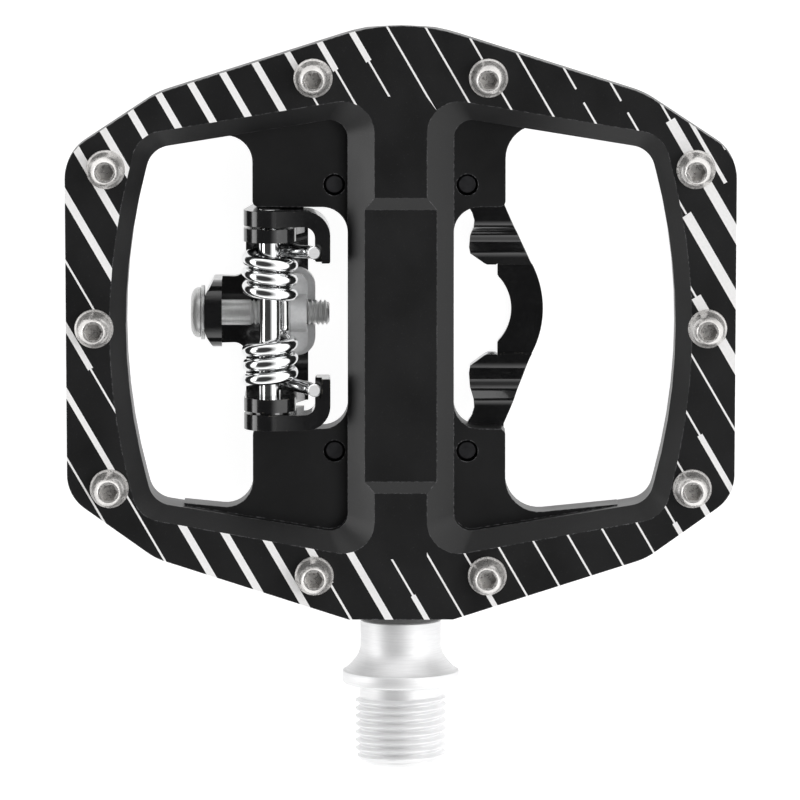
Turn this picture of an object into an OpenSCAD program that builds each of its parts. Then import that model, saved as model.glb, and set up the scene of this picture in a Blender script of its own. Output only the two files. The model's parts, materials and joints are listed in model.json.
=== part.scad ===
// Clipless trail pedal, right-hand side: a platform with traction pins on both sides, a sprung cleat
// binding on the clip side, and a spindle with the crank thread. Millimetres.
// +Y runs outboard along the spindle, +Z out of the flat side, +X towards the fixed front claw.
// The origin is on the spindle's axis, at the collar face that seats on the crank.

/* [Platform] */
// Thickness of the platform frame
platform_t = 15; // [14.8:0.1:15.2]
// Half the width of the platform across the two side pins
platform_half_w = 52.4; // [52:0.1:54]
// Distance from the collar face to the middle of the platform
platform_y = 58; // [57.8:0.1:58.2]
// How far the outer wall leans in at the clip side
wall_lean = 1.3; // [0.8:0.1:1.4]
// Half the height of the upright part of the window walls
window_wall = 4.3; // [4:0.1:4.6]
// Depth of the pads in the middle column
pad_depth = 1.17; // [0.6:0.05:1.2]

/* [Spindle] */
// Crest diameter of the crank thread, 9/16 inch
thread_d = 14.29; // [14.2:0.01:14.3]
// Length of the crank thread
thread_l = 9.2; // [8.8:0.1:9.4]
// Diameter of the collar
collar_d = 18.4; // [18:0.1:19]
// Diameter of the spindle between the collar and the seal
neck_d = 12.7; // [12.4:0.1:12.9]
// Diameter of the journal in the bushing
journal_d = 10; // [9.8:0.1:10.2]
// Running clearance of each shaft in its hole, on the radius
running = 0.05; // [0.02:0.01:0.08]

/* [Binding] */
// Distance of the rear claw's pivot from the spindle's axis
pivot_x = 20.5; // [20.4:0.1:20.6]
// Height of the rear claw's pivot over the spindle's axis
pivot_z = 3; // [2.9:0.1:3.1]
// Radius of the ears around the pivot
ear_r = 4.1; // [3.9:0.1:4.2]
// Diameter of the spring wire
wire_d = 2.1; // [1.9:0.1:2.1]
// Diameter of the pivot pin
pivot_d = 3.3; // [3:0.1:3.4]
// Thickness of the claw plates
claw_t = 2; // [1.8:0.1:2.1]

/* [Pins] */
// Height of a traction pin over the platform's face
pin_h = 4.9; // [4:0.1:5]
// Diameter of a traction pin's flange
pin_flange_d = 6.1; // [5.8:0.1:6.2]

/* [Hidden] */

$fn = 64;
arc_steps = 10;
eps = 0.01;
half_t = platform_t / 2;

// Platform outline on the +X side, from the crank end round to the apex: x, y, corner radius
edge_x = platform_half_w;
outline_half = [
    [8.2, -46.95, 1], [38.4, -37.25, 10], [edge_x - 0.2, -27.4, 6.5], [edge_x, 26.3, 7], [38, 35.85, 14]
];
apex = [0, 47.9, 30];
upright_z = 4; // the outer wall is upright above this height

// Windows on the +X side: the upright wall, and the wider mouth on the two faces
column_x = 8.3;
window_wall_line = [
    [column_x, -33.8, 2.8], [38.8, -28.85, 4], [46.3, -1, 94.5], [38.9, 26.95, 4], [column_x, 31.9, 2.8]
];
window_mouth_line = [
    [4.1, -37.5, 5], [41.15, -30.82, 5], [48.4, -1.3, 100], [41, 29.4, 5], [4.1, 35.5, 5]
];
pad_floor_y = [-25.3, 17.5];
pad_edge_y = [-27, 19.5];

// Web tabs in the windows, which carry the binding
web_z = [-3.5, 2.2];
web_y = 17.5;
web_slope = 0.1;
web_run_out_x = 34;
// -X side, +X side
web_tip_x = [23.2, 16.4];
web_tip_y = [[29.2, 30.3], [31, 31.2]];      // outboard, crank end
web_tip_r = [4.2, 5.3];

// Traction pins on the +X side
pin_places = [[13.65, 38.3], [46, 24], [47.9, -1], [45.6, -26.2], [13.55, -40]];
boss_r = 3.85;
pin_thread_r = 1.95;
pin_thread_l = 5;
pin_top_r = 1.95;
flange_t = 0.8;

// Stations along the spindle, from the collar face outwards
tip_y = -12.85;
relief_l = 2;
relief_r = 6.6;
collar_t = 2.05;
flare_l = 4.1;
seal_y = [10.25, 13.8];
bushing_y = [13.8, 28.8];
bearing_y = [86, 90];
washer_y = [90, 91];
locknut_y = [91, 95.5];
stub_y = 97;
cap_y = [98, 102.9];
body_ends = [platform_y - 46.95, platform_y + 48];

// Radii around the spindle
thread_r = thread_d / 2;
journal_r = journal_d / 2;
bushing_r = 6;
seal_r = 6.5;
main_bore_r = 5.3;
bearing_r = [3, 6];
shoulder_r = 3.6;
cap_r = 6.5;
race_t = 0.9;
ball_r = 0.95;
ball_gap = 0.05;
ball_count = 10;
ball_orbit_r = (bearing_r[0] + bearing_r[1]) / 2;
ball_y = (bearing_y[0] + bearing_y[1]) / 2;
shield_t = 0.25;

// Binding screws and plates
screw_place = [10.4, 21];
screw_r = 1.7;
screw_head_r = 3.4;
screw_head_h = 2.2;
screw_l = 7;
foot_z = [web_z[0] - claw_t, web_z[0]];
foot_x = 8.5;
foot_y = 25;
lip_z = [-12.4, -12.4 + claw_t];
shelf_z = -9;
mouth_arc = [9.96, 7.46];      // centre's X and radius
mouth_edge_x = 15.25;
back_arc = [7.13, 15.32];

// Rear binding, seen along the pivot: fixed cheeks outside, claw ears inside
cheek_y = [14.8, 17.25];
claw_ear_y = [12.3, 14.4];
hook_x = [11, 13.4];
hook_y = 9.1;
cheek_ring_r = 3.2;           // raised ring round the pivot, next to the claw's ear
hook_z = [0.5, 6.5];
bend_x = 15.2;
seat_x = 12.35;                // the seat in the hook's inner edge that holds a leg
seat_y = 12.1;
seat_z = 4.3;
pivot_r = pivot_d / 2;
claw_plate_z = [-11.4, -9.4];
claw_lip_x = 14.6;
claw_back_x = 24.4;
neck_half_y = 5.2;
boss_x = [28.1, 30.8];
boss_half_y = 5.3;
boss_z = [-10.5, -0.5];
bolt_z = -5.5;
bolt_r = 2;
bolt_tip_x = 11.2;
bolt_head_r = 4;
bolt_head_t = 1.6;
bolt_washer_t = 0.6;
bolt_washer_r = 4.3;
nut_x = [13.45, 17.4];
nut_half_y = 6.9;
nut_z = [-8.4, -6.2];          // the nut's plate
wing_x = 14.65;
wing_half_y = 6.3;
wing_z = -4.6;
nut_boss_r = 3.15;

// Spring: two coils of wire around the pivot, legs on the cheeks' hooks and a bridge on the nut
wire_r = wire_d / 2;
coil_r = 3.4;
coil_pitch = 2.3;
coil_end_y = 10.45;
leg_y = 10.8;
leg_corner = [-13.5, 5.7];     // X and Z at which a leg turns up
leg_bend = 1.8;
leg_top_z = 7.3;
bridge = [-18.45, -2.35];      // X and Z of the bridge
bridge_half_y = 1.7;
coil_steps = 14;               // steps to a turn
wire_sides = 8;

// Unit vector along v
function unit(v) = v / norm(v);

// Arc that rounds corner q between p and s; each is x, y and, at q, the radius
function rounded_corner(p, q, s) =
    let (
        here = [q.x, q.y],
        back = unit([p.x, p.y] - here),
        ahead = unit([s.x, s.y] - here),
        half = acos(back * ahead) / 2,
        centre = here + unit(back + ahead) * q.z / sin(half),
        from = here + back * q.z / tan(half) - centre,
        start = atan2(from.y, from.x),
        turn = (180 - 2 * half) * (cross(back, ahead) < 0 ? 1 : -1)
    )
    [for (i = [0 : arc_steps])
        let (a = start + turn * i / arc_steps)
        centre + q.z * [cos(a), sin(a)]];

// Outline through corners that each give a radius; a corner with no radius stays sharp
function rounded_outline(corners) =
    let (n = len(corners))
    [for (i = [0 : n - 1])
        each (corners[i].z > 0
            ? rounded_corner(corners[(i + n - 1) % n], corners[i], corners[(i + 1) % n])
            : [[corners[i].x, corners[i].y]])];

// The other half of an outline that is symmetric about x = 0
function mirrored_half(half) =
    [for (i = [len(half) - 1 : -1 : 0]) [-half[i].x, half[i].y, half[i].z]];

// Turns a shape that was built along +Z so that it lies along +Y
module along_y(y = 0) translate([0, y, 0]) rotate([-90, 0, 0]) children();

// Turns a shape that was built along +Z so that it lies along +X
module along_x(x = 0) translate([x, 0, 0]) rotate([0, 90, 0]) children();

// A tube along +Y, from y[0] to y[1]
module ring(outer, inner, y)
    along_y(y[0])
        difference() {
            cylinder(r = outer, h = y[1] - y[0]);
            translate([0, 0, -1]) cylinder(r = inner, h = y[1] - y[0] + 2);
        }

// Plate whose outline is given in X and Z, between the two distances from y = 0 in pair, on the +Y side
module upright_plate(pair)
    translate([0, pair[1], 0]) rotate([90, 0, 0]) linear_extrude(pair[1] - pair[0]) children();

// Repeats a shape on both sides of the platform's middle, in Y
module both_ends()
    translate([0, platform_y, 0]) {
        children();
        mirror([0, 1, 0]) children();
    }

// ---- Platform ----

module platform_outline()
    polygon(rounded_outline(concat(outline_half, [apex], mirrored_half(outline_half))));

module platform_blank()
    hull() {
        translate([0, 0, upright_z]) linear_extrude(half_t - upright_z) platform_outline();
        translate([0, 0, -half_t]) linear_extrude(eps) offset(delta = -wall_lean) platform_outline();
    }

module window_cut() {
    translate([0, 0, -half_t - 1]) linear_extrude(platform_t + 2) polygon(rounded_outline(window_wall_line));
    for (side = [0, 1])
        mirror([0, 0, side])
            hull() {
                translate([0, 0, window_wall]) linear_extrude(eps) polygon(rounded_outline(window_wall_line));
                translate([0, 0, half_t]) linear_extrude(eps) polygon(rounded_outline(window_mouth_line));
            }
}

module pad_cut()
    for (side = [0, 1])
        mirror([0, 0, side])
            rotate([90, 0, 90])
                translate([0, 0, -column_x - 1])
                    linear_extrude(2 * column_x + 2)
                        polygon([
                            [pad_floor_y[0], half_t - pad_depth], [pad_floor_y[1], half_t - pad_depth],
                            [pad_edge_y[1], half_t], [pad_edge_y[1], half_t + 1],
                            [pad_edge_y[0], half_t + 1], [pad_edge_y[0], half_t]
                        ]);

// One web tab on the +X side, towards +Y: tip_x is its free edge, and from tip_y it runs out along the wall
module web_tab(tip_x, tip_y, tip_r)
    translate([0, 0, web_z[0]])
        linear_extrude(web_z[1] - web_z[0])
            let (run_out_y = tip_y - web_slope * (web_run_out_x - tip_x))
            polygon(rounded_outline([
                [column_x - 1, web_y - 6, 0], [column_x, web_y - 6, 0], [column_x, web_y, 4],
                [tip_x, web_y, 1], [tip_x, tip_y, tip_r], [web_run_out_x, run_out_y, 0],
                [web_run_out_x, run_out_y + 4, 0], [column_x - 1, 36, 0]
            ]));

module web_tabs()
    for (side = [0, 1], end = [0, 1])
        mirror([1 - side, 0, 0])
            mirror([0, end, 0])
                web_tab(web_tip_x[side], web_tip_y[side][end], web_tip_r[side]);

module platform_shape() {
    difference() {
        platform_blank();
        for (side = [0, 1])
            mirror([side, 0, 0]) window_cut();
        pad_cut();
    }
    web_tabs();
    for (side = [-1, 1], i = [0, 4])
        translate([side * pin_places[i].x, pin_places[i].y, -half_t]) cylinder(r = boss_r, h = platform_t);
}

module platform_body()
    color("#1c1c1e")
        difference() {
            translate([0, platform_y, 0]) platform_shape();
            along_y(body_ends[0] - 1) cylinder(r = seal_r, h = seal_y[1] - body_ends[0] + 1);
            along_y(bushing_y[0] - 1) cylinder(r = bushing_r, h = bushing_y[1] - bushing_y[0] + 1);
            along_y(bushing_y[1] - 1) cylinder(r = main_bore_r, h = bearing_y[0] - bushing_y[1] + 2);
            along_y(bearing_y[0]) cylinder(r = bearing_r[1], h = 8);
            along_y(cap_y[0] - 4) cylinder(r = cap_r, h = body_ends[1] - cap_y[0] + 6);
            pin_cuts();
            both_ends()
                for (side = [-1, 1])
                    translate([side * screw_place.x, screw_place.y, web_z[0] - 1])
                        cylinder(r = screw_r, h = 8);
        }

module pin_cuts()
    translate([0, platform_y, 0])
        for (side = [-1, 1], face = [0, 1], place = pin_places)
            mirror([0, 0, face])
                translate([side * place.x, place.y, half_t - pin_thread_l])
                    cylinder(r = pin_thread_r, h = pin_thread_l + 1);

// ---- Traction pins ----

module hex_socket(across, depth)
    translate([0, 0, -depth]) cylinder(r = across / 2 / cos(30), h = depth + 1, $fn = 6);

module traction_pin()
    difference() {
        rotate_extrude()
            polygon([
                [0, -pin_thread_l], [pin_thread_r, -pin_thread_l], [pin_thread_r, 0], [pin_flange_d / 2, 0],
                [pin_flange_d / 2, flange_t * 0.6], [pin_flange_d / 2 - 0.3, flange_t],
                [pin_top_r + 0.75, flange_t + 0.4], [pin_top_r + 0.35, pin_h - 1], [pin_top_r, pin_h - 0.3],
                [pin_top_r - 0.3, pin_h], [0, pin_h]
            ]);
        translate([0, 0, pin_h]) hex_socket(2.5, 2.2);
    }

module traction_pins()
    translate([0, platform_y, half_t])
        for (side = [-1, 1], place = pin_places)
            translate([side * place.x, place.y, 0]) traction_pin();

module pins_flat_side() color("#d8d8da") traction_pins();
module pins_clip_side() color("#d8d8da") mirror([0, 0, 1]) traction_pins();

// ---- Spindle and its bearings ----

// Concave flare from the collar down to the neck
function flare() =
    [for (i = [0 : arc_steps])
        let (t = i / arc_steps)
        [(neck_d + (collar_d - neck_d) * (1 - t) * (1 - t)) / 2, collar_t + flare_l * t]];

module spindle()
    color("#c9c9cb")
        difference() {
            along_y()
                rotate_extrude()
                    polygon(concat(
                        [
                            [0, tip_y], [thread_r - 2, tip_y], [thread_r - 1, tip_y + 0.45],
                            [thread_r - 0.35, tip_y + 1.05], [thread_r, -relief_l - thread_l],
                            [thread_r, -relief_l], [relief_r, -relief_l + 0.4], [relief_r, 0],
                            [collar_d / 2 - 0.2, 0], [collar_d / 2, 0.2]
                        ],
                        flare(),
                        [
                            [neck_d / 2, seal_y[0] - 0.1], [journal_r, seal_y[0] - 0.1],
                            [journal_r, bushing_y[1] + 0.4], [journal_r - 0.1, bushing_y[1] + 1],
                            [shoulder_r, bearing_y[0] - 2], [shoulder_r, bearing_y[0]],
                            [bearing_r[0], bearing_y[0]], [bearing_r[0], stub_y - 0.5],
                            [bearing_r[0] - 0.5, stub_y], [0, stub_y]
                        ]
                    ));
            translate([0, tip_y, 0]) rotate([90, 0, 0]) hex_socket(8, 7);
        }

module inboard_seal() color("#2a2a2a") ring(seal_r, journal_r + running, seal_y);
module inboard_bushing() color("#5c5f58") ring(bushing_r, journal_r + running, bushing_y);

// Groove that the balls run in
module ball_groove()
    along_y(ball_y) rotate_extrude() translate([ball_orbit_r, 0]) circle(r = ball_r + ball_gap);

module bearing_outer_race()
    color("#b5b7ba")
        difference() {
            ring(bearing_r[1], bearing_r[1] - race_t, bearing_y);
            ball_groove();
        }

module bearing_inner_race()
    color("#b5b7ba")
        difference() {
            ring(bearing_r[0] + race_t, bearing_r[0], bearing_y);
            ball_groove();
        }

module each_ball()
    for (i = [0 : ball_count - 1])
        along_y(ball_y) rotate([0, 0, i * 360 / ball_count]) translate([ball_orbit_r, 0, 0]) children();

module bearing_balls() color("#d6d8db") each_ball() sphere(r = ball_r);

module bearing_cage()
    color("#8a6b3a")
        difference() {
            ring(ball_orbit_r + 0.25, ball_orbit_r - 0.25, [ball_y - 1.2, ball_y + 1.2]);
            each_ball() along_x(-1) cylinder(r = ball_r + 0.02, h = 2);
        }

module bearing_shields()
    color("#3a3a3c")
        for (y = [bearing_y[0] + 0.1, bearing_y[1] - 0.1 - shield_t])
            ring(bearing_r[1] - race_t, bearing_r[0] + race_t + 0.2, [y, y + shield_t]);

module axle_washer() color("#9b9da0") ring(4.6, bearing_r[0], washer_y);

module axle_locknut()
    color("#9b9da0")
        along_y(locknut_y[0])
            difference() {
                cylinder(r = 8 / 2 / cos(30), h = locknut_y[1] - locknut_y[0], $fn = 6);
                translate([0, 0, -1]) cylinder(r = bearing_r[0], h = locknut_y[1] - locknut_y[0] + 2);
            }

ring_r = 0.5;
ring_y = cap_y[1] - 1.4;

module end_cap()
    color("#202022")
        difference() {
            along_y(cap_y[0]) cylinder(r = cap_r, h = cap_y[1] - cap_y[0]);
            along_y(cap_y[0] - 1) cylinder(r = cap_r - 1.6, h = 3);
            along_y(cap_y[1]) hex_socket(5, 2);
            along_y(ring_y) rotate_extrude() translate([cap_r - ring_r, 0]) circle(r = ring_r + 0.01);
        }

module end_cap_ring()
    color("#101010") along_y(ring_y) rotate_extrude() translate([cap_r - ring_r, 0]) circle(r = ring_r);

// ---- Front claw ----

// Bow of a circle centred on the X axis, from the axis up to end_y; arc holds its centre's X and its radius
function bow(arc, end_y) =
    [for (i = [0 : arc_steps]) let (y = end_y * i / arc_steps) [arc[0] + sqrt(arc[1] * arc[1] - y * y), y]];

function reversed(list) = [for (i = [len(list) - 1 : -1 : 0]) list[i]];

// Claw outline on the +Y side, from the middle of its mouth, round the hook and the foot, to the middle of
// its back
claw_half = concat(
    bow(mouth_arc, 5.1),
    [
        [mouth_edge_x, 5.4], [mouth_edge_x, 7.3], [14.95, 7.05], [14.4, 6.95], [13.8, 7.02], [13.2, 7.3],
        [10.95, 8.9], [10.75, 10], [10.9, 12], [11.45, 13.6], [11.55, 14.8], [11.2, 16], [10.4, 17.3],
        [foot_x, 18], [foot_x, foot_y], [14.8, foot_y], [16, foot_y - 1.2], [16.2, 17.4]
    ],
    reversed(bow(back_arc, 7.7))
);

// Side profile on the +Y side: foot on the web, a bend down to the hook, the hook's shelf, and a step down
// to the plate that holds the cleat's nose; each is y, z and the bend's radius
claw_profile_half = [
    [0, lip_z[0], 0], [8.2, lip_z[0], 2.5], [11.8, -9, 2], [13.4, -8.6, 1.2], [15, foot_z[0], 1.2],
    [foot_y + 1, foot_z[0], 0], [foot_y + 1, foot_z[1], 0], [13.9, foot_z[1], 1.6], [12.3, -6.6, 1.6],
    [11, -7, 1.5], [8.9, shelf_z, 2], [7.1, shelf_z - 0.2, 0], [7.1, lip_z[1], 0], [0, lip_z[1], 0]
];

// A closed outline from its half: the points with their twins across the line where one coordinate is 0
function with_twins(half, across) =
    concat(half, [for (i = [len(half) - 2 : -1 : 1]) [half[i].x * across.x, half[i].y * across.y]]);

module front_claw()
    color("#0c0c0d")
        difference() {
            translate([0, platform_y, 0])
                intersection() {
                    translate([0, 0, lip_z[0] - 1])
                        linear_extrude(12) polygon(with_twins(claw_half, [1, -1]));
                    rotate([90, 0, 90])
                        linear_extrude(30)
                            polygon(with_twins(rounded_outline(claw_profile_half), [-1, 1]));
                }
            both_ends()
                translate([screw_place.x, screw_place.y, foot_z[0] - 1]) cylinder(r = screw_r + 0.05, h = 4);
        }

// A screw from the clip side, with its socket head under the foot
module binding_screw()
    translate([0, 0, foot_z[0]])
        difference() {
            rotate_extrude()
                polygon([
                    [0, -screw_head_h], [screw_head_r - 1.3, -screw_head_h], [screw_head_r - 0.3, -1.2],
                    [screw_head_r, -0.4], [screw_head_r, 0], [screw_r, 0], [screw_r, screw_l - 0.4],
                    [screw_r - 0.4, screw_l], [0, screw_l]
                ]);
            translate([0, 0, -screw_head_h]) mirror([0, 0, 1]) hex_socket(2.5, 1.4);
        }

module front_claw_screws()
    color("#2b2b2d") both_ends() translate([screw_place.x, screw_place.y, 0]) binding_screw();

module bracket_screws()
    color("#2b2b2d") both_ends() translate([-screw_place.x, screw_place.y, 0]) binding_screw();

// ---- Rear binding ----

module cheek() {
    upright_plate(cheek_y) {
        translate([-pivot_x, pivot_z]) circle(r = ear_r);
        polygon([
            [-pivot_x - 3.9, pivot_z - 1.2], [-pivot_x - 2.6, foot_z[0]], [-bend_x, foot_z[0]],
            [-bend_x, hook_z[1]], [-pivot_x + 1, pivot_z + ear_r - 0.1]
        ]);
    }
    upright_plate([claw_ear_y[1] + 0.1, cheek_y[0] + eps])
        translate([-pivot_x, pivot_z]) circle(r = cheek_ring_r);
    difference() {
        translate([0, 0, hook_z[0]])
            linear_extrude(hook_z[1] - hook_z[0])
                polygon(rounded_outline([
                    [-bend_x, cheek_y[0], 0], [-hook_x[1], cheek_y[0], 1.7], [-hook_x[1], hook_y, 0.3],
                    [-hook_x[0], hook_y, 0.3], [-hook_x[0], cheek_y[1], 3.9], [-bend_x, cheek_y[1], 0]
                ]));
        translate([-hook_x[1] - 1, hook_y - 1, seat_z])
            cube([1 + hook_x[1] - seat_x, seat_y + 1 - hook_y, 5]);
    }
    translate([0, 0, foot_z[0]])
        linear_extrude(claw_t)
            polygon(rounded_outline([
                [-22.6, cheek_y[0], 0], [-bend_x, cheek_y[0], 0], [-bend_x, web_y + 0.3, 0],
                [-foot_x, web_y + 0.3, 0], [-foot_x, foot_y, 1], [-21.6, foot_y, 2], [-22.6, web_y + 0.5, 0]
            ]));
}

module pivot_brackets()
    color("#0c0c0d")
        both_ends()
            difference() {
                cheek();
                translate([-screw_place.x, screw_place.y, foot_z[0] - 1]) cylinder(r = screw_r + 0.05, h = 4);
                translate([-pivot_x, 0, pivot_z]) along_y() cylinder(r = pivot_r, h = 30);
            }

module pivot_pin()
    color("#d4d6d8")
        translate([-pivot_x, platform_y, pivot_z])
            along_y(-cheek_y[1] - 0.1) cylinder(r = pivot_r, h = 2 * cheek_y[1] + 0.2);

module claw_ear()
    upright_plate(claw_ear_y) {
        translate([-pivot_x, pivot_z]) circle(r = ear_r);
        polygon([
            [-pivot_x - ear_r + 0.1, pivot_z], [-claw_back_x, claw_plate_z[0]],
            [-claw_lip_x, claw_plate_z[0]], [-claw_lip_x - 0.3, claw_plate_z[1]],
            [-pivot_x + ear_r - 0.6, -4], [-pivot_x + ear_r - 0.1, pivot_z]
        ]);
    }

// The claw's floor: a lip for the cleat's tail on the +X side, and a neck out to the bolt boss
claw_floor_half = [
    [-claw_lip_x - 1, 0, 0], [-claw_lip_x, 2.5, 0], [-claw_lip_x, claw_ear_y[1], 0],
    [-claw_back_x, claw_ear_y[1], 0], [-claw_back_x, neck_half_y, 1.9], [-boss_x[0], boss_half_y, 0],
    [-boss_x[1] + 1.5, boss_half_y, 0], [-boss_x[1] + 1.5, 0, 0]
];

// Plan of the boss on the +Y side, with its outer corners rounded
boss_plan_half = [
    [-boss_x[1], 2.9, 4], [-boss_x[0] - 1.4, boss_half_y - 0.1, 1], [-boss_x[0] - 0.4, boss_half_y + 1, 0],
    [-boss_x[0] + 1, boss_half_y + 1, 0]
];

// The other half of an outline that is symmetric about y = 0
function mirrored_in_y(half) = [for (i = [len(half) - 1 : -1 : 0]) [half[i].x, -half[i].y, half[i].z]];

module rear_claw()
    color("#0c0c0d")
        difference() {
            union() {
                both_ends() {
                    claw_ear();
                    translate([0, 0, claw_plate_z[0]])
                        linear_extrude(claw_plate_z[1] - claw_plate_z[0])
                            polygon(rounded_outline(claw_floor_half));
                }
                translate([0, platform_y, 0])
                    intersection() {
                        along_x(-boss_x[1])
                            linear_extrude(boss_x[1] - boss_x[0])
                                polygon(rounded_outline([
                                    [-boss_z[0], -boss_half_y, 0], [-boss_z[0], boss_half_y, 0],
                                    [-boss_z[1], boss_half_y, 4], [-boss_z[1], -boss_half_y, 4]
                                ]));
                        translate([0, 0, boss_z[0] - 1])
                            linear_extrude(boss_z[1] - boss_z[0] + 2)
                                polygon(rounded_outline(
                                    concat(boss_plan_half, mirrored_in_y(boss_plan_half))
                                ));
                    }
            }
            translate([-pivot_x, platform_y, pivot_z]) along_y(-30) cylinder(r = pivot_r + running, h = 60);
            translate([-boss_x[1] - 1, platform_y, bolt_z]) along_x() cylinder(r = bolt_r + running, h = 5);
        }

module tension_bolt()
    color("#b9bbbe")
        translate([0, platform_y, bolt_z])
            difference() {
                along_x(-boss_x[1] - bolt_washer_t)
                    rotate_extrude()
                        polygon([
                            [0, -bolt_head_t], [bolt_head_r - 1.6, -bolt_head_t],
                            [bolt_head_r - 0.6, -bolt_head_t * 0.7],
                            [bolt_head_r, -0.5], [bolt_head_r, 0], [bolt_r, 0],
                            [bolt_r, boss_x[1] + bolt_washer_t - bolt_tip_x - 0.4],
                            [bolt_r - 0.4, boss_x[1] + bolt_washer_t - bolt_tip_x],
                            [0, boss_x[1] + bolt_washer_t - bolt_tip_x]
                        ]);
                along_x(-boss_x[1] - bolt_washer_t - bolt_head_t) mirror([0, 0, 1]) hex_socket(3, 1.6);
            }

module bolt_washer()
    color("#a9abae")
        translate([0, platform_y, bolt_z])
            along_x(-boss_x[1] - bolt_washer_t)
                difference() {
                    cylinder(r = bolt_washer_r, h = bolt_washer_t);
                    translate([0, 0, -1]) cylinder(r = bolt_r + running, h = 3);
                }

// Outline of one layer of the nut, with its far corners rounded
module nut_layer(from_x, to_x, half_y, corner_r)
    polygon(rounded_outline([
        [-to_x, -half_y, 0.5], [-from_x, -half_y, corner_r], [-from_x, half_y, corner_r], [-to_x, half_y, 0.5]
    ]));

module tension_nut()
    color("#8f9294")
        translate([0, platform_y, 0])
            difference() {
                union() {
                    translate([0, 0, nut_z[0]])
                        linear_extrude(nut_z[1] - nut_z[0]) nut_layer(nut_x[0], nut_x[1], nut_half_y, 2.9);
                    translate([0, 0, nut_z[0] + 0.5])
                        linear_extrude(wing_z - nut_z[0] - 0.5)
                            nut_layer(wing_x, nut_x[1] - 0.1, wing_half_y, 1.9);
                    translate([0, 0, bolt_z])
                        along_x(-nut_x[1] + 0.05) cylinder(r = nut_boss_r, h = nut_x[1] - wing_x - 0.2);
                }
                translate([0, 0, bolt_z]) along_x(-nut_x[1] - 1) cylinder(r = bolt_r + running, h = 8);
            }

// Where the spring's wire leaves its coil, as an angle around the pivot, on its straight way to a place in
// X and Z
function leaving_angle(place, hand) =
    let (run = place - [-pivot_x, pivot_z])
    atan2(run.y, run.x) + hand * acos(coil_r / norm(run));

function coil_point(angle, y) = [-pivot_x + coil_r * cos(angle), y, pivot_z + coil_r * sin(angle)];

// Points along a bend from one place to another that is drawn towards a corner
function bend_points(from, corner, to, steps) =
    [for (i = [0 : steps])
        let (t = i / steps)
        from * (1 - t) * (1 - t) + corner * 2 * t * (1 - t) + to * t * t];

// Half of the wire's route: from the middle of the bridge, up to the coil, round it, out along the leg and up
function half_route() =
    let (
        first = leaving_angle(bridge, 1),
        last = leaving_angle(leg_corner, -1) + 3 * 360,
        coil_start_y = coil_end_y - coil_pitch * (last - first) / 360,
        steps = ceil((last - first) / 360 * coil_steps),
        foot = [bridge.x, bridge_half_y, bridge.y],
        corner = [bridge.x, coil_start_y, bridge.y],
        top = (corner + coil_point(first, coil_start_y)) / 2,
        leg_turn = [leg_corner.x, leg_y, leg_corner.y],
        leg_start = leg_turn + leg_bend * unit(coil_point(last, coil_end_y) - leg_turn)
    )
    concat(
        [[bridge.x, 0, bridge.y]],
        bend_points(foot, corner, top, 4),
        [for (i = [0 : steps])
            let (t = i / steps)
            coil_point(first + (last - first) * t, coil_start_y + (coil_end_y - coil_start_y) * t)],
        bend_points(leg_start, leg_turn, [leg_corner.x, leg_y, leg_top_z], 5)
    );

function whole_route() =
    let (half = half_route(), n = len(half))
    concat([for (i = [n - 1 : -1 : 1]) [half[i].x, -half[i].y, half[i].z]], half);

// A round wire swept along a route around the pivot
module wire_along(route) {
    n = len(route);
    rings = [
        for (i = [0 : n - 1])
            let (
                ahead = unit(route[min(i + 1, n - 1)] - route[max(i - 1, 0)]),
                outwards = [route[i].x + pivot_x, 0, route[i].z - pivot_z],
                side = unit(cross(ahead, outwards)),
                up = cross(side, ahead)
            )
            for (k = [0 : wire_sides - 1])
                let (a = 360 * k / wire_sides)
                route[i] + wire_r * (cos(a) * up + sin(a) * side)
    ];
    skin = [
        for (i = [0 : n - 2], k = [0 : wire_sides - 1])
            let (next = (k + 1) % wire_sides, here = i * wire_sides, there = here + wire_sides)
            [here + k, there + k, there + next, here + next]
    ];
    ends = [
        [for (k = [0 : wire_sides - 1]) k],
        [for (k = [wire_sides - 1 : -1 : 0]) (n - 1) * wire_sides + k]
    ];
    polyhedron(points = rings, faces = concat(skin, ends), convexity = 8);
}

module torsion_spring() color("#e2e4e6") translate([0, platform_y, 0]) wire_along(whole_route());

platform_body();
pins_flat_side();
pins_clip_side();
inboard_seal();
inboard_bushing();
bearing_outer_race();
bearing_inner_race();
bearing_balls();
bearing_cage();
bearing_shields();
spindle();
axle_washer();
axle_locknut();
end_cap();
end_cap_ring();
front_claw();
front_claw_screws();
pivot_brackets();
bracket_screws();
pivot_pin();
rear_claw();
tension_bolt();
bolt_washer();
tension_nut();
torsion_spring();
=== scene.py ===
import json
import math
import random

import bmesh
import bpy
from mathutils import Matrix, Vector

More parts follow.
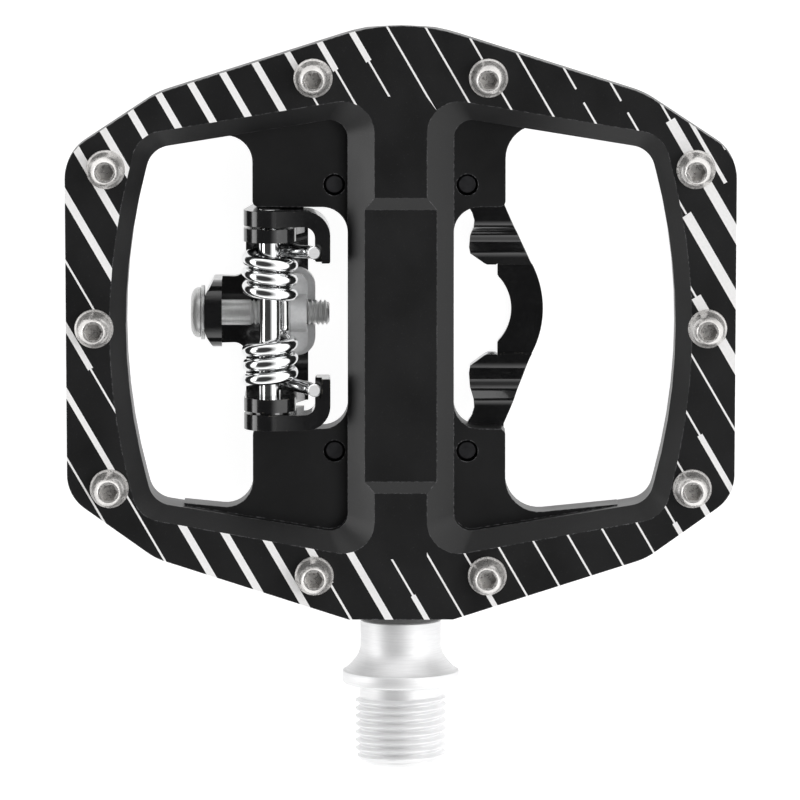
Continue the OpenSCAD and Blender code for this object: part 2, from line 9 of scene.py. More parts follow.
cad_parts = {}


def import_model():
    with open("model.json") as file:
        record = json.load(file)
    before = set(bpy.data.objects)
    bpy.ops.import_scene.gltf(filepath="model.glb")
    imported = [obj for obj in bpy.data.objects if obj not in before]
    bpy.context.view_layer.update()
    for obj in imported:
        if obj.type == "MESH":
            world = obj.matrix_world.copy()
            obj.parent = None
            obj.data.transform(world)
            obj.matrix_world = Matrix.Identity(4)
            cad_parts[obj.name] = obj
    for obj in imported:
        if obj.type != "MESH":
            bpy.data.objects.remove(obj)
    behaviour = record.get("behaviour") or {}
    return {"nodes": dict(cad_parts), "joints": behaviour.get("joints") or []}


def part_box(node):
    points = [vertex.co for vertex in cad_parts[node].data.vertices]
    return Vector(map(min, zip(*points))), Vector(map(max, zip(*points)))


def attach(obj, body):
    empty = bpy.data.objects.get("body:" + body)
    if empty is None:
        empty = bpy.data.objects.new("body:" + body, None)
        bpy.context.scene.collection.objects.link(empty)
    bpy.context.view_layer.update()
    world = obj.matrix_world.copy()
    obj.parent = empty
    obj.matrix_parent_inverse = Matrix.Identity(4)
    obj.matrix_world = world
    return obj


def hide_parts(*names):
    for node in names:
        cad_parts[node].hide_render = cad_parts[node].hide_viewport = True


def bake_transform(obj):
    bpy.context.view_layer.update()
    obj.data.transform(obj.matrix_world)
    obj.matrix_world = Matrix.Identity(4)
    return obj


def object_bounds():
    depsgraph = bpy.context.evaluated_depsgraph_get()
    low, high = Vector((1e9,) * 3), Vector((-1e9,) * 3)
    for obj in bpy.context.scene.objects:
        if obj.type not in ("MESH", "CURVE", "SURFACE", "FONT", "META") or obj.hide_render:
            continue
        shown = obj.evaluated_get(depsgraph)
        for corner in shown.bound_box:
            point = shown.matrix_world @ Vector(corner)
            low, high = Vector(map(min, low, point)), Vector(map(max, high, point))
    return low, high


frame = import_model()
CAD_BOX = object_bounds()

MM = 0.001
TAU = 2 * math.pi


# ---- Places, from the frame ----

def corners(node):
    """Lowest and highest corner of a CAD node's box, in mm."""
    low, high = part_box(node)
    return low / MM, high / MM


PIVOT = Vector(next(j for j in frame["joints"] if j["name"] == "claw_pivot")["pos_m"]) / MM
PLATFORM_Y = PIVOT.y
FACE_Z = corners("platform_body")[1].z
SPINDLE_TIP = corners("spindle")[0].y
FLOOR_Z = CAD_BOX[0][2] / MM


# ---- Materials ----

class Shader:
    """A node material built up in a few calls."""

    def __init__(self, name, **sockets):
        self.material = bpy.data.materials.new(name)
        self.material.use_nodes = True
        self.nodes = self.material.node_tree.nodes
        self.links = self.material.node_tree.links
        self.surface = self.nodes["Principled BSDF"]
        self.place = self.nodes.new("ShaderNodeTexCoord").outputs["Object"]
        for socket, value in sockets.items():
            self.surface.inputs[socket.replace("_", " ")].default_value = value

    def stretched(self, scale):
        """Object coordinates with each axis scaled, in repeats per mm."""
        mapping = self.nodes.new("ShaderNodeMapping")
        mapping.inputs["Scale"].default_value = [s / MM for s in scale]
        self.links.new(self.place, mapping.inputs["Vector"])
        return mapping.outputs["Vector"]

    def noise(self, scale, detail=3.0):
        """Cloudy noise, with its scale along each axis in repeats per mm."""
        node = self.nodes.new("ShaderNodeTexNoise")
        node.inputs["Scale"].default_value = 1.0
        node.inputs["Detail"].default_value = detail
        node.inputs["Roughness"].default_value = 0.55
        self.links.new(self.stretched(scale), node.inputs["Vector"])
        return node.outputs["Fac"]

    def remap(self, value, low, high, start=0.3, end=0.7):
        """A value between start and end, spread between low and high."""
        node = self.nodes.new("ShaderNodeMapRange")
        for socket, number in zip(("From Min", "From Max", "To Min", "To Max"), (start, end, low, high)):
            node.inputs[socket].default_value = number
        self.links.new(value, node.inputs["Value"])
        return node.outputs["Result"]

    def mixed(self, share, first, second):
        """A colour between first and second; each is a colour or another node's output."""
        node = self.nodes.new("ShaderNodeMix")
        node.data_type = "RGBA"
        self.links.new(share, node.inputs["Factor"])
        for socket, colour in (("A", first), ("B", second)):
            place = next(s for s in node.inputs if s.name == socket and s.type == "RGBA")
            if isinstance(colour, tuple):
                place.default_value = (*colour, 1)
            else:
                self.links.new(colour, place)
        return next(s for s in node.outputs if s.type == "RGBA")

    def edges(self, radius, start=0.02, end=0.2):
        """1 on edges that turn within the radius in mm, 0 on open surfaces."""
        bevel = self.nodes.new("ShaderNodeBevel")
        bevel.samples = 4
        bevel.inputs["Radius"].default_value = radius * MM
        geometry = self.nodes.new("ShaderNodeNewGeometry")
        dot = self.nodes.new("ShaderNodeVectorMath")
        dot.operation = "DOT_PRODUCT"
        self.links.new(bevel.outputs["Normal"], dot.inputs[0])
        self.links.new(geometry.outputs["Normal"], dot.inputs[1])
        return self.remap(dot.outputs["Value"], 1, 0, 1 - end, 1 - start)

    def product(self, first, second):
        node = self.nodes.new("ShaderNodeMath")
        node.operation = "MULTIPLY"
        self.links.new(first, node.inputs[0])
        self.links.new(second, node.inputs[1])
        return node.outputs["Value"]

    def set(self, socket, value):
        self.links.new(value, self.surface.inputs[socket])

    def bump(self, *layers):
        """Height layers, each (value, height in mm, strength), the coarse ones first."""
        below = None
        for value, height, strength in layers:
            node = self.nodes.new("ShaderNodeBump")
            node.inputs["Distance"].default_value = height * MM
            node.inputs["Strength"].default_value = strength
            self.links.new(value, node.inputs["Height"])
            if below is not None:
                self.links.new(below, node.inputs["Normal"])
            below = node.outputs["Normal"]
        self.links.new(below, self.surface.inputs["Normal"])


def anodised():
    """Bead-blasted, black anodised aluminium whose edges are a little paler: partly wear, partly a painted
    highlight.
    """
    s = Shader("anodised_black", IOR=1.45)
    grain = s.noise((6, 6, 6), detail=2)
    cloud = s.noise((0.12, 0.09, 0.12), detail=4)
    base = s.mixed(s.remap(cloud, 0, 1), (0.004, 0.004, 0.0043), (0.0065, 0.0065, 0.007))
    speck = s.remap(s.noise((5, 5, 5), detail=2), 0, 1, 0.66, 0.74)
    base = s.mixed(speck, base, (0.022, 0.022, 0.023))
    # Paler edges in dotted patches: partly wear, partly a painted highlight standing in for glints along the
    # edges.
    edge_wear_and_glint = s.product(s.edges(0.25), s.remap(s.noise((1.8, 1.8, 1.8), detail=5), 0, 0.9, 0.45, 0.6))
    s.set("Base Color", s.mixed(edge_wear_and_glint, base, (0.26, 0.26, 0.27)))
    s.set("Roughness", s.remap(cloud, 0.34, 0.42))
    s.bump((s.noise((0.5, 0.5, 0.5)), 0.02, 0.15), (grain, 0.02, 0.55))
    return s.material


def gloss_black():
    """Thick glossy black coating on stamped steel."""
    s = Shader("gloss_black_steel", IOR=1.5, Coat_Weight=0.6, Coat_Roughness=0.04)
    cloud = s.noise((0.25, 0.25, 0.25), detail=4)
    # Paler edges: partly wear, partly a painted highlight along the edges.
    edge_wear_and_glint = s.product(s.edges(0.3), s.remap(s.noise((1.6, 1.6, 1.6), detail=5), 0, 1, 0.55, 0.7))
    base = s.mixed(s.remap(cloud, 0, 1), (0.006, 0.006, 0.0065), (0.011, 0.011, 0.0115))
    s.set("Base Color", s.mixed(edge_wear_and_glint, base, (0.2, 0.18, 0.15)))
    s.set("Roughness", s.remap(s.noise((1.5, 1.5, 1.5)), 0.1, 0.22))
    s.bump((s.noise((0.45, 0.45, 0.45), detail=2), 0.05, 0.3), (s.noise((3, 3, 3)), 0.008, 0.25))
    return s.material


def metal(name, colour, rough, grain, bump, patch=0.8, metallic=1.0):
    """Bare or plated metal with cloudy patches and machining marks.

    grain is the marks' scale along each axis, in repeats per mm, and bump their height in mm and strength.
    """
    s = Shader(name, Metallic=metallic)
    marks = s.noise(grain, detail=3)
    cloud = s.noise((0.35, 0.35, 0.35), detail=5)
    tone = s.mixed(s.remap(cloud, 0, 1, 0.35, 0.75), colour, tuple(patch * c for c in colour))
    s.set("Base Color", s.mixed(s.remap(marks, 0, 0.35), tone, tuple(0.75 * c for c in colour)))
    s.set("Roughness", s.remap(marks, *rough))
    s.bump((cloud, 0.01, 0.15), (marks, *bump))
    return s.material


def rubber(name, tone):
    s = Shader(name, IOR=1.45)
    s.set("Base Color", s.mixed(s.noise((1.2, 1.2, 1.2)), (tone, tone, tone), (1.6 * tone,) * 3))
    s.set("Roughness", s.remap(s.noise((2, 2, 2)), 0.5, 0.75))
    s.bump((s.noise((4, 4, 4)), 0.01, 0.4))
    return s.material


def print_white():
    """Pale printed stripe, a little chalky."""
    s = Shader("stripe_white", IOR=1.45)
    chalk = s.remap(s.noise((2.5, 2.5, 2.5), detail=5), 0, 1)
    s.set("Base Color", s.mixed(chalk, (0.93, 0.92, 0.92), (0.86, 0.86, 0.85)))
    s.set("Roughness", s.remap(s.noise((5, 5, 5)), 0.45, 0.65))
    s.bump((s.noise((9, 9, 9)), 0.008, 0.3))
    return s.material


ANODISED = anodised()
GLOSS = gloss_black()
PRINT = print_white()
SEAL = rubber("seal_rubber", 0.085)
POLYMER = rubber("bushing_polymer", 0.12)
CHROME = metal(
    "spring_chrome", (0.86, 0.865, 0.87), rough=(0.08, 0.16), grain=(3, 0.6, 3), bump=(0.006, 0.15),
    patch=0.9,
)
SATIN = metal(
    "spindle_satin", (0.88, 0.88, 0.885), rough=(0.45, 0.58), grain=(0.25, 9, 0.25), bump=(0.01, 0.35),
    patch=0.95, metallic=0.5,
)
PIN = metal(
    "pin_steel", (0.84, 0.82, 0.8), rough=(0.2, 0.45), grain=(2.5, 2.5, 2.5), bump=(0.06, 0.6),
    patch=0.6, metallic=0.85,
)
BOLT = metal(
    "bolt_steel", (0.84, 0.845, 0.84), rough=(0.35, 0.5), grain=(6, 0.8, 0.8), bump=(0.015, 0.3),
    patch=0.85, metallic=0.55,
)
ZINC = metal(
    "nut_zinc", (0.92, 0.925, 0.93), rough=(0.45, 0.6), grain=(2, 2, 2), bump=(0.02, 0.35),
    patch=0.9, metallic=0.2,
)
GROUND = metal(
    "bearing_steel", (0.7, 0.71, 0.72), rough=(0.12, 0.25), grain=(1, 8, 1), bump=(0.005, 0.2),
    patch=0.9,
)
OXIDE = metal(
    "screw_black_oxide", (0.09, 0.09, 0.095), rough=(0.28, 0.42), grain=(3, 3, 3), bump=(0.015, 0.3),
    patch=0.6,
)
BRASS = metal("cage_brass", (0.78, 0.57, 0.25), rough=(0.22, 0.35), grain=(2, 2, 2), bump=(0.01, 0.2))


# ---- Mesh tools ----

def piece(name, mesh, body, material, nodes=(), smooth_angle=35):
    """Makes an object of a finished mesh, in mm, puts it on its body and hides the CAD nodes it replaces."""
    mesh.transform(Matrix.Scale(MM, 4))
    mesh.update()
    for polygon in mesh.polygons:
        polygon.use_smooth = True
    mesh.set_sharp_from_angle(angle=math.radians(smooth_angle))
    obj = bpy.data.objects.new(name, mesh)
    bpy.context.scene.collection.objects.link(obj)
    mesh.materials.clear()
    mesh.materials.append(material)
    if body:
        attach(obj, body)
    if nodes:
        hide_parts(*nodes)
    return obj


def flat_shading(obj):
    """Keeps broad faces flat beside their rounded edges."""
    modifier = obj.modifiers.new("flat_faces", "WEIGHTED_NORMAL")
    modifier.keep_sharp = True
    modifier.weight = 100
    return obj


def rounded(work, edges, width, segments):
    bmesh.ops.bevel(
        work, geom=edges, offset=width, offset_type="OFFSET", segments=segments,
        profile=0.5, affect="EDGES", clamp_overlap=True,
    )


def turn_degrees(edge):
    return math.degrees(edge.calc_face_angle(0)) if len(edge.link_faces) == 2 else 0


def dressed(node, body, material, width, segments=2, sharp=28):
    """A copy of a CAD node with its sharp edges rounded inwards by width, in mm."""
    mesh = frame["nodes"][node].data.copy()
    mesh.name = node + "_finished"
    mesh.transform(Matrix.Scale(1 / MM, 4))
    work = bmesh.new()
    work.from_mesh(mesh)
    bmesh.ops.remove_doubles(work, verts=work.verts, dist=0.002)
    bmesh.ops.dissolve_limit(work, angle_limit=math.radians(0.8), verts=work.verts, edges=work.edges)
    rounded(work, [e for e in work.edges if turn_degrees(e) > sharp], width, segments)
    bmesh.ops.recalc_face_normals(work, faces=work.faces)
    work.to_mesh(mesh)
    work.free()
    return flat_shading(piece(node + "_finished", mesh, body, material, [node], smooth_angle=50))


def turned(name, rows, steps, along, start):
    """A turned shape: rows are (place along the axis, radius), and a radius may be a function of angle."""
    u, v = {"x": (Vector((0, 1, 0)), Vector((0, 0, 1))), "y": (Vector((0, 0, 1)), Vector((1, 0, 0)))}[along]
    axis = u.cross(v)
    work = bmesh.new()
    rings = []
    for place, radius in rows:
        ring = []
        for k in range(steps):
            a = TAU * k / steps
            r = radius(a) if callable(radius) else radius
            ring.append(work.verts.new(start + axis * place + r * (math.cos(a) * u + math.sin(a) * v)))
        rings.append(ring)
    for low, high in zip(rings, rings[1:]):
        for k in range(steps):
            n = (k + 1) % steps
            work.faces.new((low[k], low[n], high[n], high[k]))
    work.faces.new(list(reversed(rings[0])))
    work.faces.new(rings[-1])
    bmesh.ops.recalc_face_normals(work, faces=work.faces)
    mesh = bpy.data.meshes.new(name)
    work.to_mesh(mesh)
    work.free()
    return mesh


def hexagon(across):
    """Radius of a hexagonal socket as a function of the angle."""
    return lambda a: across / 2 / math.cos((a % (TAU / 6)) - TAU / 12)


def thread(crest, depth, pitch, place, limit=math.inf):
    """Radius of a right-hand thread at one place along its axis, as a function of the angle."""
    flat = 0.12     # flat of the root, and of the crest, as a share of the pitch

    def radius(a):
        phase = (place / pitch - a / TAU) % 1
        height = min(max((abs(2 * phase - 1) - flat) / (1 - 2 * flat), 0), 1)
        return min(crest - depth * (1 - height), limit)
    return radius


# ---- Pieces ----

THREAD_PITCH = 25.4 / 20
THREAD_CREST = 7.14
THREAD_DEPTH = 0.74
THREAD_END = -2.0    # where the crank thread runs out, next to the collar
THREAD_STEPS = 14    # rows to a turn of the thread
TIP_R = 5.1          # face of the tip, round the hexagonal socket
SOCKET_ACROSS = 8
SOCKET_DEPTH = 7
RELIEF_R = 6.45
COLLAR_R = 9.19
COLLAR_END = 2.05    # outboard side of the collar's rim
FLARE_R = 8.9        # where the flare meets the collar's rim
FLARE_L = 4.1        # length of the flare from the collar down to the neck
FLARE_STEPS = 16
NECK_R = 6.35
NECK_END = 10.14
JOURNAL_R = 5
JOURNAL_END = 29.2
SHAFT_END = 86       # where the tapered shaft ends in a shoulder
SHAFT_END_R = 3.6
STUB_R = 3           # stub that the bearing, washer and locknut sit on
STUB_THREAD = 91     # where the locknut's thread starts, with ridges 1 mm apart
STUB_END = 97
CENTRE_R = 0.6       # radius at which the flat ends are closed


def crank_thread():
    """Rows of the crank thread, from the tip, rounded by three slopes, to where it runs out."""
    rows = []
    length = THREAD_END - SPINDLE_TIP
    count = round(length / THREAD_PITCH * THREAD_STEPS)
    for i in range(1, count + 1):
        depth = length * i / count
        y = SPINDLE_TIP + depth
        rounded_end = min(TIP_R + 2.2 * depth, 5.62 + 1.1 * depth, 6.15 + 0.6 * depth)
        run_out = RELIEF_R + 0.1 + (THREAD_END - y) * 2.2
        limit = min(rounded_end, run_out)
        rows.append((y, thread(THREAD_CREST, THREAD_DEPTH, THREAD_PITCH, y, limit)))
    return rows


def flare():
    """Rows of the hollow flare from the collar down to the neck."""
    shares = [i / FLARE_STEPS for i in range(FLARE_STEPS + 1)]
    return [(COLLAR_END + FLARE_L * t, NECK_R + (FLARE_R - NECK_R) * (1 - t) ** 2) for t in shares]


def spindle():
    """Spindle with its crank thread cut as a helix, from the crank end outboard."""
    tip, socket = SPINDLE_TIP, hexagon(SOCKET_ACROSS)
    rows = [(tip + SOCKET_DEPTH, CENTRE_R), (tip + SOCKET_DEPTH, socket), (tip + 0.35, socket)]
    rows += [(tip, hexagon(SOCKET_ACROSS + 0.6)), (tip, TIP_R)]
    rows += crank_thread()
    rows += [(THREAD_END + 0.2, RELIEF_R), (-0.35, RELIEF_R)]
    rows += [(0, 6.8), (0, 8.8), (0.08, 9.02), (0.35, COLLAR_R)]
    rows += [(COLLAR_END - 0.25, COLLAR_R), (COLLAR_END - 0.06, 9.08)]
    rows += flare()
    rows += [(NECK_END - 0.19, NECK_R), (NECK_END, NECK_R - 0.2), (NECK_END, JOURNAL_R)]
    rows += [(JOURNAL_END, JOURNAL_R), (JOURNAL_END + 0.6, 4.9)]
    rows += [(SHAFT_END - 2, SHAFT_END_R), (SHAFT_END, SHAFT_END_R), (SHAFT_END, STUB_R)]
    rows += [(STUB_THREAD + 0.5 * i, STUB_R if i % 2 else STUB_R - 0.25) for i in range(12)]
    rows += [(STUB_END, 2.5), (STUB_END, CENTRE_R)]
    mesh = turned("spindle_threaded", rows, 96, "y", Vector((0, 0, 0)))
    return piece("spindle_threaded", mesh, "spindle", SATIN, ["spindle"], smooth_angle=40)


BOLT_HEAD = 1.6      # height of the bolt's head
BOLT_KEY = 3         # hex key that turns it
BOLT_PLAIN = 7.8     # plain part of its shank
BOLT_PITCH = 0.7
BOLT_R = 2.0
DOME_STEPS = 8


def tension_bolt():
    """Bolt with a domed head, a plain shank and a threaded end."""
    low, high = corners("tension_bolt")
    start = Vector((0, PLATFORM_Y, (low.z + high.z) / 2))
    head, tip, socket = low.x, high.x, hexagon(BOLT_KEY)
    rows = [(head + 1.4, 0.4), (head + 1.4, socket), (head + 0.2, socket), (head, hexagon(BOLT_KEY + 0.4))]
    for i in range(DOME_STEPS + 1):
        a = TAU / 4 * i / DOME_STEPS
        rows.append((head + (BOLT_HEAD - 0.4) * (1 - math.cos(a)), 2.1 + 1.85 * math.sin(a)))
    seat = head + BOLT_HEAD
    plain_end = seat + BOLT_PLAIN
    rows += [(seat - 0.1, 3.95), (seat, 3.8), (seat, BOLT_R), (plain_end, BOLT_R), (plain_end + 0.2, 1.72)]
    first = plain_end + 0.3
    count = round((tip - first) / BOLT_PITCH * 10)
    for i in range(count + 1):
        x = first + (tip - first) * i / count
        rows.append((x, thread(BOLT_R, 0.36, BOLT_PITCH, x, 1.45 + (tip - x) * 1.2)))
    rows.append((tip, 0.3))
    mesh = turned("tension_bolt_threaded", rows, 48, "x", start)
    return piece("tension_bolt_threaded", mesh, "bolt", BOLT, ["tension_bolt"], smooth_angle=40)


# Wire of the double torsion spring, as in the CAD: coils, legs that turn up at their ends, and the bridge
COIL_R, WIRE_R, COIL_PITCH, COIL_END_Y = 3.4, 1.04, 2.3, 10.45
COIL_STEPS = 110
LEG_Y = 10.8
LEG_CORNER = Vector((-13.5, 0, 5.7))
LEG_BEND = 1.8
LEG_TOP_Z = 7.28
BRIDGE = Vector((-18.45, 0, -2.35))
BRIDGE_HALF_Y = 1.7


def drawn_bend(start, corner, end, steps):
    """Points on a bend from start to end that is drawn towards a corner."""
    shares = [i / steps for i in range(steps + 1)]
    return [start * (1 - t) ** 2 + corner * 2 * t * (1 - t) + end * t * t for t in shares]


def spring_half():
    """Half of the wire's centreline: the bridge's half up to the coil, and the coil with its leg, in mm."""
    def leaving(place, hand):
        """Angle round the coil's axis at which a straight run from a place touches the coil."""
        run = place - Vector((PIVOT.x, 0, PIVOT.z))
        return math.atan2(run.z, run.x) + hand * math.acos(COIL_R / run.length)

    first, last = leaving(BRIDGE, 1), leaving(LEG_CORNER, -1) + 3 * TAU
    coil_start = COIL_END_Y - COIL_PITCH * (last - first) / TAU

    def on_coil(t):
        a = first + (last - first) * t
        y = coil_start + (COIL_END_Y - coil_start) * t
        return Vector((PIVOT.x + COIL_R * math.cos(a), y, PIVOT.z + COIL_R * math.sin(a)))

    foot, bend = BRIDGE + Vector((0, BRIDGE_HALF_Y, 0)), BRIDGE + Vector((0, coil_start, 0))
    bridge = [BRIDGE.copy(), BRIDGE + Vector((0, BRIDGE_HALF_Y / 2, 0))]
    bridge += drawn_bend(foot, bend, (bend + on_coil(0)) / 2, 8)
    coil = [on_coil(i / COIL_STEPS) for i in range(COIL_STEPS + 1)]
    corner = LEG_CORNER + Vector((0, LEG_Y, 0))
    straight = (coil[-1] - corner).normalized() * LEG_BEND
    coil += drawn_bend(corner + straight, corner, Vector((corner.x, LEG_Y, LEG_TOP_Z - 0.2)), 10)
    coil.append(Vector((corner.x, LEG_Y, LEG_TOP_Z)))
    return bridge, coil


def wire_rings(route, sides=20):
    """Circles of places round a wire's centreline, chamfered at both ends."""
    rings = []
    for i, p in enumerate(route):
        ahead = (route[min(i + 1, len(route) - 1)] - route[max(i - 1, 0)]).normalized()
        side = ahead.cross(Vector((p.x - PIVOT.x, 0, p.z - PIVOT.z))).normalized()
        up = side.cross(ahead)
        radius = WIRE_R * (0.82 if i in (0, len(route) - 1) else 1)
        place = p + Vector((0, PLATFORM_Y, 0))
        rings.append([
            place + radius * (math.cos(TAU * k / sides) * up + math.sin(TAU * k / sides) * side)
            for k in range(sides)
        ])
    return rings


def wire(name, runs):
    """Lengths of wire skinned over their circles, with sawn ends."""
    work = bmesh.new()
    for run in runs:
        rings = [[work.verts.new(place) for place in ring] for ring in run]
        for low, high in zip(rings, rings[1:]):
            for k, corner in enumerate(low):
                n = (k + 1) % len(low)
                work.faces.new((corner, low[n], high[n], high[k]))
        work.faces.new(list(reversed(rings[0])))
        work.faces.new(rings[-1])
    bmesh.ops.recalc_face_normals(work, faces=work.faces)
    mesh = bpy.data.meshes.new(name)
    work.to_mesh(mesh)
    work.free()
    obj = piece(name, mesh, None, CHROME, ["torsion_spring"])
    mesh.materials.append(SATIN)
    for face in mesh.polygons:
        face.material_index = 1 if len(face.vertices) > 4 else 0
    return obj


def torsion_spring():
    """Double spring: its coils, and the bridge between them, made as two pieces."""
    bridge, coil = spring_half()
    half = bridge + coil
    route = [Vector((p.x, -p.y, p.z)) for p in reversed(half[1:])] + half
    rings = wire_rings(route)
    low, high = len(coil), len(route) - 1 - len(coil)
    coils = wire("spring_coils", [rings[:low + 1], rings[high:]])
    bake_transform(coils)
    middle_part = wire("spring_bridge", [rings[low:high + 1]])
    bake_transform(middle_part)


# ---- Printed stripes on the flat face ----

STRIPE_ANGLE = math.radians(-60)
STRIPE_PITCH = 5.15
STRIPE_START = 0.7
STRIPES_EACH_WAY = 16
FINE = 0.3                      # width of a thin line
TWIN_WIDTH = 0.6                # line half-way between two stripes
TWIN_REACH = 14                 # twice how far a twin's middle may lie from its stripe's, along the stripe
SHORTEST = 0.8                  # stretches shorter than this stay bare
ALONG = Vector((math.cos(STRIPE_ANGLE), math.sin(STRIPE_ANGLE)))
ACROSS = Vector((-ALONG.y, ALONG.x))

COLUMN_HALF_X = 4.1
COLUMN_ENDS = (-37.4, 35.4)     # the column's part of the face, which has no stripes
PIN_HOLE = 7                    # a ring of edges narrower than this is a pin's hole


def face_rim(body):
    """Edges round the platform's flat face, in mm from its middle, without those of the pins' holes."""
    work = bmesh.new()
    work.from_mesh(body.data)
    flat = {
        f for f in work.faces
        if f.normal.z > 0.999 and f.calc_center_median().z > (FACE_Z - 0.01) * MM
    }
    rim = [e for e in work.edges if sum(f in flat for f in e.link_faces) == 1]
    on_rim, seen, kept = set(rim), set(), []
    for first in rim:
        if first in seen:
            continue
        seen.add(first)
        loop = [first]
        for edge in loop:
            for other in (e for v in edge.verts for e in v.link_edges):
                if other in on_rim and other not in seen:
                    seen.add(other)
                    loop.append(other)
        ends = [[Vector((v.co.x / MM, v.co.y / MM - PLATFORM_Y)) for v in e.verts] for e in loop]
        across = [p.x for pair in ends for p in pair]
        if max(across) - min(across) > PIN_HOLE:
            kept += ends
    work.free()
    return kept


def free_stretches(rim, offset):
    """Stretches of a stripe's line that lie on the flat face, off the column."""
    start = ACROSS * offset
    found = []
    for p, q in rim:
        below, above = (p - start).dot(ACROSS), (q - start).dot(ACROSS)
        if (below > 0) != (above > 0):
            found.append((p + (q - p) * below / (below - above) - start).dot(ALONG))
    found.sort()
    stretches = []
    for low, high in zip(found[::2], found[1::2]):
        sides = sorted((side * COLUMN_HALF_X - start.x) / ALONG.x for side in (-1, 1))
        ends = sorted((end - start.y) / ALONG.y for end in COLUMN_ENDS)
        cut = (max(sides[0], ends[0]), min(sides[1], ends[1]))
        if cut[0] < cut[1] and cut[0] < high and cut[1] > low:
            stretches += [(low, cut[0]), (cut[1], high)]
        else:
            stretches.append((low, high))
    return [(low, high) for low, high in stretches if high - low > SHORTEST]


def stripe_plan(place, pick):
    """What is printed on one stretch: its parts as (width, from, to), and whether it has a half-way twin.

    The place is the stretch's middle, in mm from the platform's, and pick is a random draw.
    """
    u, v = place
    if v > 27:      # outboard end
        if u < -20:
            return [(1.1, 0, 1)], False
        if u < -2:
            return [(0.95, 0, 0.45), (FINE, 0.45, 1)], False
        return [(FINE, 0, 1)] if pick < 0.7 else [(FINE, 0, 0.38), (FINE, 0.62, 1)], False
    if v < -29:     # crank end
        if u < -4:
            return [(1.15, 0, 1)] if pick < 0.7 else [(1.1, 0, 0.5), (0.35, 0.5, 1)], pick < 0.2
        return [(FINE, 0, 1)] if pick < 0.75 else [(FINE, 0, 0.6), (0.8, 0.6, 1)], False
    if u > 0:       # front rail
        if v > -8:
            return [(FINE, 0, 0.12), (1.6, 0.12, 1)], pick < 0.5
        return [(FINE, 0, 1)] if pick < 0.6 else [(FINE, 0, 0.3), (0.9, 0.3, 1)], False
    if v > 4:       # rear rail
        return [(1.2, 0, 1)] if pick < 0.8 else [(0.35, 0, 0.4), (1.2, 0.4, 1)], False
    return [(FINE, 0, 1)] if pick < 0.55 else [(0.9, 0, 0.5), (FINE, 0.5, 1)], pick < 0.2


def bar(work, rim, offset, stretch, share, width, thickness=0.012):
    """One printed bar, a very thin block on part of a stretch whose ends follow the face's edges."""
    low, high = stretch
    ends = []
    for side in (-0.5, 0.5):
        beside = offset + side * width
        near = [
            (a, b) for a, b in free_stretches(rim, beside)
            if a < (low + high) / 2 < b
        ]
        if not near:
            return
        a, b = near[0]
        start = a if share[0] == 0 else max(a, low + (high - low) * share[0])
        end = b if share[1] == 1 else min(b, low + (high - low) * share[1])
        ends.append((ACROSS * beside + ALONG * start, ACROSS * beside + ALONG * end))
    (first, last), (other_first, other_last) = ends
    rings = [
        [work.verts.new((p.x, p.y + PLATFORM_Y, FACE_Z + z)) for p in (first, other_first, other_last, last)]
        for z in (-0.004, thickness)
    ]
    work.faces.new(rings[1])
    work.faces.new(list(reversed(rings[0])))
    for k in range(4):
        n = (k + 1) % 4
        work.faces.new((rings[0][k], rings[0][n], rings[1][n], rings[1][k]))


def stripes(body):
    """Diagonal stripes of a plain, rule-made pattern round the face's border."""
    draw = random.Random(11)
    rim = face_rim(body)
    work = bmesh.new()
    for k in range(-STRIPES_EACH_WAY, STRIPES_EACH_WAY + 1):
        offset = k * STRIPE_PITCH + STRIPE_START
        for low, high in free_stretches(rim, offset):
            plan, twin = stripe_plan(ACROSS * offset + ALONG * (low + high) / 2, draw.random())
            for width, start, end in plan:
                bar(work, rim, offset, (low, high), (start, end), width)
            for a, b in free_stretches(rim, offset + STRIPE_PITCH / 2) if twin else []:
                if abs((a + b) - (low + high)) < TWIN_REACH:
                    bar(work, rim, offset + STRIPE_PITCH / 2, (a, b), (0, 0.75), TWIN_WIDTH)
    bmesh.ops.recalc_face_normals(work, faces=work.faces)
    mesh = bpy.data.meshes.new("stripes_print")
    work.to_mesh(mesh)
    work.free()
    return piece("stripes_print", mesh, "platform", PRINT)


# ---- The object ----

spindle()
tension_bolt()
torsion_spring()
stripes(dressed("platform_body", "platform", ANODISED, 0.22))
dressed("end_cap", "platform", ANODISED, 0.15)
dressed("front_claw", "platform", GLOSS, 0.45, segments=4)
dressed("pivot_brackets", "platform", GLOSS, 0.45, segments=4)
dressed("rear_claw", "claw", GLOSS, 0.3, segments=3)
dressed("tension_nut", "nut", ZINC, 0.35, segments=3)
dressed("pins_flat_side", "platform", PIN, 0.12)
dressed("pins_clip_side", "platform", PIN, 0.12)
dressed("front_claw_screws", "platform", OXIDE, 0.15)
dressed("bracket_screws", "platform", OXIDE, 0.15)
dressed("axle_locknut", "spindle", GROUND, 0.2)
dressed("pivot_pin", "platform", CHROME, 0.2)
dressed("bolt_washer", "claw", BOLT, 0.1)

PLAIN = {
    "inboard_seal": SEAL, "inboard_bushing": POLYMER,
    "bearing_outer_race": GROUND, "bearing_inner_race": GROUND,
    "bearing_balls": GROUND, "bearing_cage": BRASS, "bearing_shields": SEAL, "axle_washer": GROUND,
    "end_cap_ring": SEAL,
}
for node, material in PLAIN.items():
    mesh = frame["nodes"][node].data
    mesh.materials.clear()
    mesh.materials.append(material)


# ---- Floor, light and camera ----

def floor():
    """Pale, softly lit table that the pedal lies on."""
    bpy.ops.mesh.primitive_plane_add(size=4, location=(0, 0.05, FLOOR_Z * MM - 0.0001))
    plane = bpy.context.object
    plane.name = "floor"
    s = Shader("floor_pale", Roughness=0.9)
    s.set("Base Color", s.mixed(s.noise((0.01, 0.01, 0.01)), (0.28, 0.28, 0.28), (0.32, 0.32, 0.32)))
    s.surface.inputs["Emission Color"].default_value = (1, 1, 1, 1)
    s.surface.inputs["Emission Strength"].default_value = 0.95
    plane.data.materials.append(s.material)


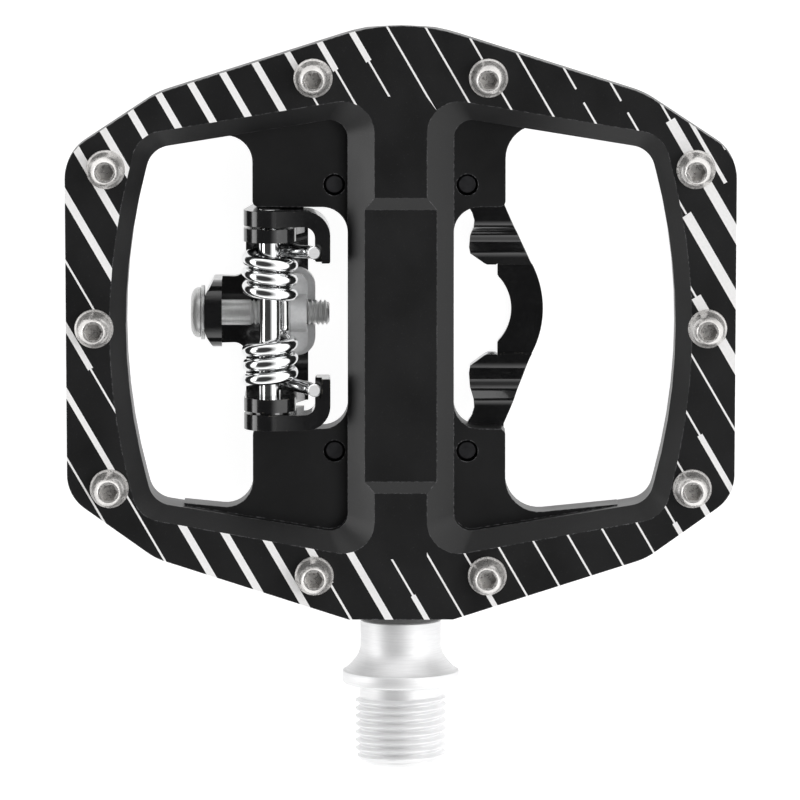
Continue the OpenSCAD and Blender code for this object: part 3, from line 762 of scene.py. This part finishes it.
def softbox(name, place, aim, size, power):
    light = bpy.data.lights.new(name, "AREA")
    light.shape = "RECTANGLE"
    light.size, light.size_y = size
    light.energy = power
    obj = bpy.data.objects.new(name, light)
    obj.location = place
    obj.rotation_euler = (Vector(aim) - Vector(place)).to_track_quat("-Z", "Y").to_euler()
    bpy.context.scene.collection.objects.link(obj)


def world(zenith, upper, horizon, lean):
    """Even studio surroundings with a dark patch overhead that leans to -X."""
    studio = bpy.data.worlds.new("studio")
    studio.use_nodes = True
    nodes, links = studio.node_tree.nodes, studio.node_tree.links
    place = nodes.new("ShaderNodeTexCoord")
    turned_place = nodes.new("ShaderNodeMapping")
    turned_place.inputs["Rotation"].default_value = (0, math.radians(lean), 0)
    parts = nodes.new("ShaderNodeSeparateXYZ")
    ramp = nodes.new("ShaderNodeValToRGB")
    links.new(place.outputs["Generated"], turned_place.inputs["Vector"])
    links.new(turned_place.outputs["Vector"], parts.inputs["Vector"])
    links.new(parts.outputs["Z"], ramp.inputs["Fac"])
    stops = ramp.color_ramp.elements
    stops.new(0.6)
    for stop, (place_up, tone) in zip(stops, ((0.45, horizon), (0.62, upper), (0.84, zenith))):
        stop.position = place_up
        stop.color = (tone, tone, tone, 1)
    links.new(ramp.outputs["Color"], nodes["Background"].inputs["Color"])
    bpy.context.scene.world = studio


def camera():
    """Long lens, nearly straight down on the flat side, leaning a little to the outboard end.

    The distance and the width that the picture spans at the pedal are in mm.
    """
    lean, distance, width = math.radians(7.45), 1600, 125.6
    target = Vector((-0.12, 44.78, 0))
    data = bpy.data.cameras.new("camera")
    data.sensor_width = 36
    data.lens = 36 * distance / width
    data.clip_end = 10
    obj = bpy.data.objects.new("camera", data)
    obj.location = (target + distance * Vector((0, math.sin(lean), math.cos(lean)))) * MM
    obj.rotation_euler = (-lean, 0, 0)
    bpy.context.scene.collection.objects.link(obj)
    bpy.context.scene.camera = obj


floor()
world(zenith=0.05, upper=1.0, horizon=1.45, lean=28)
softbox("left_softbox", (-0.7, 0.1, 0.25), (0, 0.05, 0), (0.6, 0.3), 1.7)
softbox("right_softbox", (0.45, 0.1, 0.5), (0, 0.05, 0), (0.14, 0.3), 0.6)
camera()
bpy.context.scene.view_settings.view_transform = "Standard"
